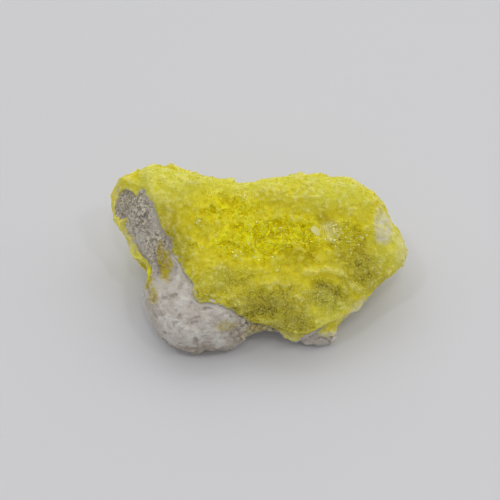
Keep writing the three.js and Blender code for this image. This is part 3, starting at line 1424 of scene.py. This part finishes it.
@dataclass
class SulfurCrust:
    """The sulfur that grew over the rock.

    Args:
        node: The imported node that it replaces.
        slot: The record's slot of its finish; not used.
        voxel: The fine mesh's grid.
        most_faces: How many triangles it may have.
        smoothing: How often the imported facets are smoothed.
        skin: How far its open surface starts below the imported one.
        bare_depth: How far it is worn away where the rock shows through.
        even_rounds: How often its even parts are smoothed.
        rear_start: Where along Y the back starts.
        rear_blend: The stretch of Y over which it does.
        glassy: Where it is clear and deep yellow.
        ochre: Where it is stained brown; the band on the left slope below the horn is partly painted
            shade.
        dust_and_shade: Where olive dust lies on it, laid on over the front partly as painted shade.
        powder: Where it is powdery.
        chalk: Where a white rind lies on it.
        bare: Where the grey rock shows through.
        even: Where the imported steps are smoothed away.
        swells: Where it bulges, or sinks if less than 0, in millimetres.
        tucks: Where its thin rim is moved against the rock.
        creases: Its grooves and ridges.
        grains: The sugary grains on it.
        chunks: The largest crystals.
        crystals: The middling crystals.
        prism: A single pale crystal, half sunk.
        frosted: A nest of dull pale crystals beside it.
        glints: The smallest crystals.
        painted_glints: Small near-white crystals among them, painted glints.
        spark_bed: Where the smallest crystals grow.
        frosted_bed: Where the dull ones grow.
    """

    node: str = "sulfur_crust"
    slot: str = "native_sulfur"
    voxel: float = 0.3
    most_faces: int = 190_000
    smoothing: int = 8
    skin: float = 0.25
    bare_depth: float = 1.1
    even_rounds: int = 500
    rear_start: float = 15.0
    rear_blend: float = 4.0
    glassy: tuple[Patch, ...] = (
        Patch((3, 1, 21), (21, 9, 8)),
        Patch((-8, 8, 24), (13, 6, 6), 0.8),
        Patch((22.5, 1.3, 21.7), (6, 5.5, 5), 0.9),
        Patch((7, 22, 17), (11, 5, 6)),
        Patch((-19, 20, 22), (7, 6, 5), 0.9),
        Patch((30, 18, 17), (6, 6, 5), 0.8),
    )
    ochre: tuple[Patch, ...] = (
        Patch((10, -2.5, 19), (7, 4, 5), 0.55),
        Patch((16, 4.5, 24), (3, 2, 3), 0.7),
        # Partly painted shade: the ochre band on the left slope below the horn.
        Patch((-22.5, 4, 25), (3, 9, 8), 0.75),
        Patch((23, 0, 21), (6, 6, 5), 0.5),
        Patch((31, 0, 20), (4, 3, 4), 0.4),
        Patch((-33, 9, 19), (3, 3, 3), 0.6),
        Patch((-24, 20, 15), (9, 6, 6), 0.7),
        Patch((8, 22, 20), (12, 5, 5), 0.5),
        Patch((38, 6, 14), (4, 9, 6), 0.5),
    )
    # Olive dust; the patches over the front and the right lobe also paint shade on faces turned from the
    # lights.
    dust_and_shade: tuple[Patch, ...] = (
        Patch((1, -15.5, 13.5), (20, 9, 8), 0.85, 1.0),
        Patch((8, -18.5, 11), (12, 7, 7), 0.8, 1.0),
        Patch((-13, -15, 17), (9, 5, 5), 0.5, 1.0),
        Patch((-21, -2, 19), (5, 7, 7), 0.35),
        Patch((17.5, -12.5, 14), (8, 6, 6), 0.95, 0.8),
        Patch((-9, -10, 17.5), (13, 7, 6), 0.55, 1.0),
        Patch((27, -5, 16), (11, 9, 8), 0.6, 1.0),
        Patch((23, 0, 21), (5, 5, 5), 0.3),
        Patch((0, 20, 3), (40, 9, 5), 0.8),
        Patch((-14, 22, 12), (10, 5, 5), 0.4),
    )
    powder: tuple[Patch, ...] = (
        Patch((-25, 12, 30), (14, 10, 9)),
        Patch((-2, 15, 27), (26, 6, 7), 0.7),
        Patch((20, 11, 29), (15, 8, 7), 0.9),
        Patch((34, 2, 19), (8, 12, 10), 0.8),
        Patch((17, -15, 12), (7, 6, 6), 0.7),
        Patch((-33, 4, 16), (6, 10, 8), 0.5),
        Patch((-11, -10, 18), (9, 3, 4), 0.4),
        Patch((0, 24, 16), (40, 8, 14), 0.75),
        Patch((34, 16, 20), (9, 8, 9), 0.8),
    )
    chalk: tuple[Patch, ...] = (
        Patch((31.5, 4, 22), (3.6, 7, 6), 0.9),
        Patch((17.9, 2.7, 22.7), (3.4, 2.2, 3), 0.5),
        Patch((-36.8, 12, 24), (3, 4, 5), 0.9),
        Patch((-33.5, 4, 17), (4, 7, 7), 0.45),
        Patch((37, 1, 16), (4, 8, 7), 0.4),
        Patch((-30.4, -3.2, 12.6), (3.2, 4.2, 4.5), 1.0, 0.4),
        Patch((16, 22, 10), (5, 5, 4), 0.8),
        Patch((-28, 18, 5), (7, 8, 4), 0.8),
        Patch((24, -11, 8), (8, 8, 4), 0.9),
        Patch((18, -18, 3.6), (7, 4, 2.8), 1.0, 0.3),
        Patch((2, -21, 8), (12, 5, 3), 0.3),
        Patch((18.4, 1.6, 22.3), (3.0, 3.0, 3.2), 0.5),
    )
    bare: tuple[Patch, ...] = (
        Patch((-33.2, 11, 22.8), (3.4, 4.4, 3.6), 1.0, 0.4),
        Patch((-35.4, 10.6, 21.8), (3.8, 4.4, 4.2), 1.0, 0.4),
        Patch((-34.7, 12.2, 19.4), (3.2, 3.4, 3.6), 1.0, 0.4),
        Patch((24, 20, 9), (9, 6, 5), 1.0, 0.4),
        Patch((-9, 17, 4.5), (13, 7, 5), 1.0, 0.4),
        Patch((7, 16, 3), (13, 7, 4), 1.0, 0.4),
        Patch((-36, 14, 8), (5, 6, 4), 1.0, 0.4),
        Patch((37, 2, 6), (5, 7, 4)),
    )
    even: tuple[Patch, ...] = (Patch((3, 0, 20), (27, 14, 12), 0.85, 0.5),)
    swells: tuple[Patch, ...] = (
        Patch((-33.5, 6, 17), (4, 9, 8), -0.6, 0.8),
        Patch((18, -17.5, 4.5), (6, 3.5, 3), 1.8, 0.8),
        Patch((7, -18.5, 5.5), (9, 5, 5), 1.8, 1.0),
        Patch((-10, -7, 17), (9, 4, 5), 0.8, 1.0),
        Patch((-11, -13.5, 18), (9, 3.5, 5), -1.5, 1.0),
        Patch((4, -9.5, 15), (10, 3, 4), 0.8, 1.0),
        Patch((4, -16, 12.5), (10, 3, 4), -0.8, 1.0),
        Patch((9, -1, 20), (17, 6, 7), 1.1, 1.0),
        Patch((3, 8, 26), (16, 4, 6), -0.6, 1.0),
    )
    tucks: tuple[Tuck, ...] = (
        Tuck(Patch((-31, -3.5, 10), (4.5, 5.5, 5.5), 1.0, 0.5), (4.5, 1.0, -1.0)),
        Tuck(Patch((-34.5, 5, 16), (5, 9, 8), 1.0, 1.0), (0.9, 0.3, 0.0)),
    )
    creases: tuple[Crease, ...] = (
        Crease(
            ((12, -6.5, 16.6), (16.6, -5.9, 16.7), (20, -6.2, 16.2), (24.5, -9.5, 13.5)), -0.8, 1.8
        ),
        Crease(((14, -9.5, 15.5), (18, -9, 15), (21, -12, 13)), 0.8, 2.0),
        Crease(((20, -10, 15), (18.5, -15, 12.5), (16, -19, 9)), 0.7, 1.3),
    )
    grains: Strewing = Strewing(
        "sulfur_grains", Habit.SUGAR, 23000, 0.2, spread=0.35, rough=0.16, seed=11
    )
    chunks: Strewing = Strewing(
        "large_crystals", Habit.DIPYRAMID, 420, 1.2, spread=0.3, lean=1.0, sink=0.75, rough=0.02, seed=15
    )
    crystals: Strewing = Strewing(
        "clear_crystals", Habit.DIPYRAMID, 1200, 0.52, spread=0.4, lean=1.0, sink=0.5, rough=0.03, seed=12
    )
    prism: Spray = Spray("milky_prism", (Prism((15.8, 0.9, 21.1), (12.7, 4.1, 23.7), 2.3),))
    frosted: Strewing = Strewing(
        "frosted_crystals", Habit.DIPYRAMID, 34, 1.25, spread=0.2, lean=0.9, sink=0.65, rough=0.02, seed=13
    )
    glints: Strewing = Strewing(
        "small_crystals", Habit.DIPYRAMID, 900, 0.3, spread=0.3, lean=1.5, sink=0.3, rough=0.03, seed=16
    )
    # Painted glints: small near-white crystals where the sulfur sparkles.
    painted_glints: Strewing = Strewing(
        "painted_glint_specks", Habit.DIPYRAMID, 170, 0.34, spread=0.35, lean=1.5, sink=0.3, rough=0.04, seed=14
    )
    spark_bed: tuple[Patch, ...] = (
        Patch((-14.7, 4, 23.4), (1.3, 1.3, 1.5), 1.0, 0.3),
        Patch((-3.5, 10, 26), (1.3, 1.3, 1.5), 1.0, 0.3),
        Patch((0.8, 6.6, 26), (1.1, 1.1, 1.5), 0.8, 0.3),
        Patch((5.8, 2.3, 23), (1.2, 1.2, 1.5), 0.8, 0.3),
        Patch((-5.5, -2.6, 18.8), (1.3, 1.3, 1.5), 1.0, 0.3),
        Patch((5, -5.8, 17), (1.0, 1.0, 1.5), 0.6, 0.3),
        Patch((22.9, 1.3, 21.7), (5, 5, 5), 0.4),
        Patch((3, 1, 21), (20, 9, 8), 0.05),
    )
    frosted_bed: tuple[Patch, ...] = (Patch((18.4, 1.6, 22.3), (3.2, 3.2, 3.2)),)
    piece: bpy.types.Object = field(init=False)
    bed: Bed = field(init=False)

    def kinds(self, points: np.ndarray) -> dict[str, np.ndarray]:
        """The share of each kind of sulfur at each place, by the name that the finishes read."""
        stray = 0.22 * lumps(points, 4.0, 21)
        return {name: shares(getattr(self, name), points, stray) for name in CRUST_KINDS}

    def shape(self, mesh: bpy.types.Mesh, hidden: np.ndarray) -> None:
        """Gives the fine mesh its relief.

        Args:
            mesh: The fine mesh.
            hidden: True at each corner against the rock.
        """
        points = corners_of(mesh)
        even = shares(self.even, points, np.zeros(len(points)))[:, None]
        level = evened(mesh, self.even_rounds)
        points = np.where(hidden[:, None], points, points + even * (level - points))
        for tuck in self.tucks:
            points = tuck.moved(points)
        move_corners(mesh, points)
        normals = normals_of(mesh)
        kinds = self.kinds(points)
        glassy, powder = kinds["glassy"], kinds["powder"]
        # Only the back has broad flat slabs.
        rear = smooth((points[:, 1] - self.rear_start) / self.rear_blend)
        slabs = np.clip(facets(points, 7.0, 0.24, 29), -0.5, 0.7)
        relief = rear * (0.5 * lumps(points, 9.0, 28) - 0.3 + slabs)
        # Waves and ripples, then grains, coarse ones in the dry parts and fine ones in the dust.
        relief += (0.45 - 0.25 * rear) * lumps(points, 5.0, 24)
        relief += (0.26 - 0.12 * powder) * lumps(points, 1.8, 25)
        relief += (0.34 - 0.24 * powder) * (1.0 - glassy) * (cells(points, 1.3, 22) - 0.6)
        relief += (0.12 + 0.12 * kinds["dust_and_shade"] - 0.08 * glassy) * (cells(points, 0.7, 23) - 0.5)
        # Crystal faces of two sizes in the glassy parts.
        faces = np.clip(facets(points, 3.4, 0.26, 26) + facets(points, 1.5, 0.24, 27), -0.6, 0.4)
        relief += glassy * faces
        worn = self.bare_depth * smooth(kinds["bare"])
        relief -= sum(crease.dent(points) for crease in self.creases) + worn
        relief += pushes(self.swells, points)
        relief = np.where(hidden, 0.0, relief - self.skin)
        move_corners(mesh, np.clip(points + normals * relief[:, None], LOW, HIGH))

    def build(self, rock: Surface) -> None:
        """Builds the crust.

        Args:
            rock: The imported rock, which hides the crust's inner face.
        """
        mesh = refined(welded(self.node), self.voxel, self.smoothing)
        hidden = rock.faces_closely(corners_of(mesh), normals_of(mesh), TOUCH)
        self.shape(mesh, hidden)
        mesh = thinned(mesh, hidden, self.most_faces)
        points = corners_of(mesh)
        stored = self.kinds(points) | {"crest": crests(mesh, CREST_ROUNDS)}
        store(mesh, stored)
        open_air = ~rock.faces_closely(points, normals_of(mesh), FREE)
        self.bed = Bed.of(mesh, stored | {"open": open_air.astype(float)})
        self.piece = shown("sulfur_mass", mesh)

    def dress(self) -> None:
        """Finishes the crust and strews grains and crystals over it."""
        sulfur = SulfurFinish().material()
        finished(self.piece, sulfur)
        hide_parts(self.node)
        kinds, open_air = self.bed.stored, self.bed.stored["open"]
        still = np.zeros(len(self.bed.points))
        sugar = open_air * (0.15 + 1.2 * kinds["dust_and_shade"] + 0.1 * kinds["glassy"])
        clear = open_air * kinds["glassy"] ** 1.5
        bright = open_air * shares(self.spark_bed, self.bed.points, still)
        dull = open_air * shares(self.frosted_bed, self.bed.points, still)
        sugary = SulfurFinish("sugary_sulfur", translucency=0.0).material()
        crystal = CLEAR.material()
        for piece, material in (
            (self.grains.build(self.bed, sugar), sugary),
            (self.crystals.build(self.bed, clear), crystal),
            (self.chunks.build(self.bed, clear), crystal),
            (self.painted_glints.build(self.bed, bright), GLINT_PAINT.material()),
            (self.glints.build(self.bed, bright), crystal),
            (self.prism.build(), MILKY.material()),
            (self.frosted.build(self.bed, dull), FROSTED.material()),
        ):
            finished(piece, material)


# --- The studio ------------------------------------------------------------------------


@dataclass(frozen=True)
class Lamp:
    """A soft square light that points at the specimen.

    Args:
        name: The light's name.
        at: Where it hangs.
        width: Its width.
        power: Its power, in watts.
        colour: The light's colour.
    """

    name: str
    at: tuple[float, float, float]
    width: float
    power: float
    colour: tuple[float, float, float] = (1.0, 1.0, 1.0)

    def build(self, aim: Vector) -> None:
        """Hangs the light.

        Args:
            aim: Where it points, in metres.
        """
        data = bpy.data.lights.new(self.name, "AREA")
        data.size = self.width * MM
        data.energy = self.power
        data.color = self.colour
        lamp = bpy.data.objects.new(self.name, data)
        lamp.location = Vector(self.at) * MM
        lamp.rotation_euler = (aim - lamp.location).to_track_quat("-Z", "Y").to_euler()
        bpy.context.scene.collection.objects.link(lamp)


@dataclass(frozen=True)
class Studio:
    """The table, the lights and the camera.

    Args:
        table_width: The table's width.
        aim: The point that the camera and the lights look at.
        distance: The camera's distance from it.
        elevation: How far the camera looks down, in degrees.
        lens: The camera's focal length.
        film: The width of the camera's film.
        ambient: The strength of the light from all around.
        ambient_colour: The colour of that light.
        lamps: The lights.
    """

    table_width: float = 3000
    aim: tuple[float, float, float] = (-2.06, 0.79, 16.46)
    distance: float = 330
    elevation: float = 50
    lens: float = 94.1
    film: float = 36.0
    ambient: float = 0.42
    ambient_colour: tuple[float, float, float, float] = (1.0, 0.99, 0.98, 1.0)
    lamps: tuple[Lamp, ...] = (
        Lamp("window_light", (0, 900, 800), 1300, 4.55, (0.96, 0.98, 1.0)),
        Lamp("left_light", (-700, 300, 700), 900, 1.0),
        Lamp("right_light", (700, 300, 700), 900, 1.9),
        Lamp("room_light", (0, -500, 700), 900, 0.5),
        Lamp("glint_light", (40, -240, 620), 50, 0.26),
        Lamp("left_glint_light", (-230, -140, 600), 50, 0.26),
        Lamp("right_glint_light", (260, -180, 560), 50, 0.26),
    )

    def build(self) -> None:
        """Sets the table, the lights and the camera up."""
        half = self.table_width / 2
        corners = np.array([(-half, -half, 0), (half, -half, 0), (half, half, 0), (-half, half, 0)])
        table = shown("table", mesh_of("table", corners, np.array([(0, 1, 2), (0, 2, 3)])))
        table.data.materials.append(TableFinish().material())
        aim = Vector(self.aim) * MM
        for lamp in self.lamps:
            lamp.build(aim)
        world = bpy.data.worlds.new("room")
        world.use_nodes = True
        background = world.node_tree.nodes["Background"]
        background.inputs["Color"].default_value = self.ambient_colour
        background.inputs["Strength"].default_value = self.ambient
        bpy.context.scene.world = world
        bpy.context.scene.view_settings.view_transform = "Standard"
        self.place_camera(aim)

    def place_camera(self, aim: Vector) -> None:
        """Places the camera in front of the specimen, looking down on it.

        Args:
            aim: The point it looks at, in metres.
        """
        data = bpy.data.cameras.new("camera")
        data.lens = self.lens
        data.sensor_width = self.film
        data.clip_start = 10 * MM
        camera = bpy.data.objects.new("camera", data)
        tilt = math.radians(self.elevation)
        away = Vector((0.0, -math.cos(tilt), math.sin(tilt)))
        camera.location = aim + away * self.distance * MM
        camera.rotation_euler = (-away).to_track_quat("-Z", "Y").to_euler()
        bpy.context.scene.collection.objects.link(camera)
        bpy.context.scene.camera = camera


def main() -> None:
    """Builds the specimen and its studio."""
    logging.basicConfig(level=logging.INFO, format="%(message)s")
    rock, crust = MatrixRock(), SulfurCrust()
    rock.build(Surface(crust.node))
    rock.dress()
    crust.build(Surface(rock.node))
    crust.dress()
    Studio().build()


if __name__ == "__main__":
    main()
